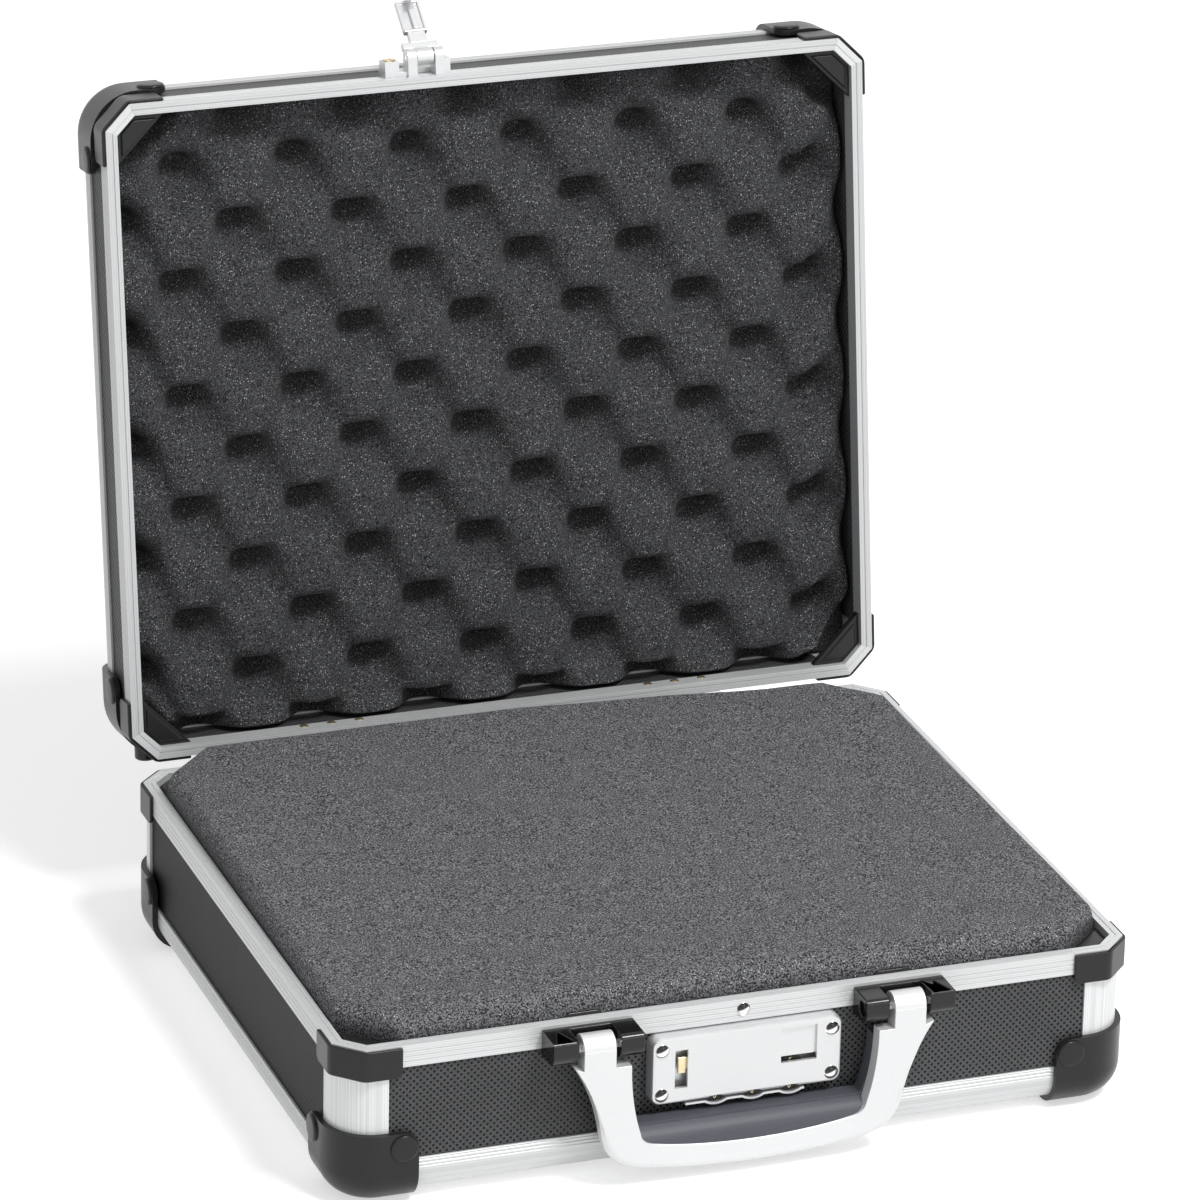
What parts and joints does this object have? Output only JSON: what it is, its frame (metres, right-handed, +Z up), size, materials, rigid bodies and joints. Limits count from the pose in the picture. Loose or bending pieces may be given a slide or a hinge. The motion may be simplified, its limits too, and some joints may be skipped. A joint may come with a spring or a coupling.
{
  "type": "foam lined hard case",
  "caption": "Hard case with aluminium edges, foam lining, hinged lid, swinging handle and combination hasp lock.",
  "frame": {"origin": "middle of the whole footprint as stored, lid open and handle hanging, on the ground under the corner caps", "axes": "+Z up, +X along the hinge to the right as seen from the lock side, +Y from the lock side towards the hinge"},
  "size_m": [0.348, 0.3905, 0.3873],
  "materials": {
    "aluminium": "satin, fine ribs along the rims",
    "handle_metal": "satin silver",
    "satin_zinc": "satin nickel over die cast zinc",
    "bright_chrome": "polished",
    "brass": "plain",
    "panel_cover": "dark grey sheet with a fine grid of raised black dots",
    "black_plastic": "satin",
    "gloss_plastic": "glossy",
    "dial_plastic": "semi gloss",
    "grip_rubber": "matt, smooth",
    "base_foam": "open cell foam, speckled grey",
    "lid_foam": "open cell egg crate foam, charcoal"
  },
  "bodies": {
    "case": {"base_floor_panel": "panel_cover", "base_front_panel": "panel_cover", "base_back_panel": "panel_cover", "base_side_panels": "panel_cover", "base_edge_profiles": "aluminium", "base_corner_posts": "aluminium", "base_rim_front": "aluminium", "base_rim_back": "aluminium", "base_rim_left": "aluminium", "base_rim_right": "aluminium", "base_rim_corners": "aluminium", "base_rim_caps": "black_plastic", "base_corner_caps": "black_plastic", "base_cap_studs": "black_plastic", "base_rear_feet": "black_plastic", "base_corner_gussets": "black_plastic", "base_foam": "base_foam", "lock_cover": "satin_zinc", "lock_base_plate": "satin_zinc", "front_rivets": "bright_chrome", "dial_pins": "bright_chrome", "handle_bracket_left": "gloss_plastic", "handle_bracket_right": "gloss_plastic", "bracket_clips": "gloss_plastic", "handle_pins": "bright_chrome", "hinge_base_leaves": "satin_zinc", "hinge_pins": "satin_zinc", "hinge_base_rivets": "brass"},
    "lid": {"lid_top_panel": "panel_cover", "lid_front_panel": "panel_cover", "lid_back_panel": "panel_cover", "lid_side_panels": "panel_cover", "lid_edge_profiles": "aluminium", "lid_corner_posts": "aluminium", "lid_rim_front": "aluminium", "lid_rim_back": "aluminium", "lid_rim_left": "aluminium", "lid_rim_right": "aluminium", "lid_rim_corners": "aluminium", "lid_rim_caps": "black_plastic", "lid_corner_caps": "black_plastic", "lid_cap_studs": "black_plastic", "lid_rear_feet": "black_plastic", "lid_corner_gussets": "black_plastic", "lid_foam": "lid_foam", "hinge_lid_leaves": "satin_zinc", "hinge_lid_rivets": "brass", "hasp_bracket": "satin_zinc", "hasp_pin": "bright_chrome", "hasp_screws": "brass"},
    "hasp": {"hasp_flap": "satin_zinc"},
    "handle": {"handle_frame": "handle_metal", "handle_grip": "grip_rubber"},
    "button": {"lock_button": "satin_zinc"},
    "catch": {"lock_catch": "brass"},
    "dial_left": {"dial_left": "dial_plastic"},
    "dial_middle": {"dial_middle": "dial_plastic"},
    "dial_right": {"dial_right": "dial_plastic"}
  },
  "joints": [
    {"name": "lid_hinge", "type": "hinge", "parent": "case", "child": "lid", "pos_m": [0, 0.10865, 0.0702], "axis": [1, 0, 0], "range_deg": [0, 98]},
    {"name": "hasp_hinge", "type": "hinge", "parent": "lid", "child": "hasp", "pos_m": [-0.028, 0.15553, 0.36282], "axis": [1, 0, 0], "range_deg": [0, 136]},
    {"name": "handle_hinge", "type": "hinge", "parent": "case", "child": "handle", "pos_m": [0, -0.1895, 0.0633], "axis": [-1, 0, 0], "range_deg": [0, 90]},
    {"name": "button_press", "type": "slide", "parent": "case", "child": "button", "axis": [0, 1, 0], "range_m": [0, 0.0018], "stiffness_N_per_m": 400, "springref_m": -0.0008},
    {"name": "catch_slide", "type": "slide", "parent": "case", "child": "catch", "axis": [1, 0, 0], "range_m": [0, 0.0025]},
    {"name": "dial_left_turn", "type": "hinge", "parent": "case", "child": "dial_left", "pos_m": [-0.0128, -0.1825, 0.0363], "axis": [0, 1, 0], "continuous": true},
    {"name": "dial_middle_turn", "type": "hinge", "parent": "case", "child": "dial_middle", "pos_m": [0.0032, -0.1825, 0.0363], "axis": [0, 1, 0], "continuous": true},
    {"name": "dial_right_turn", "type": "hinge", "parent": "case", "child": "dial_right", "pos_m": [0.0192, -0.1825, 0.0363], "axis": [0, 1, 0], "continuous": true}
  ],
  "couplings": [
    {"joint": "catch_slide", "follows": "button_press", "ratio": 1.38}
  ]
}
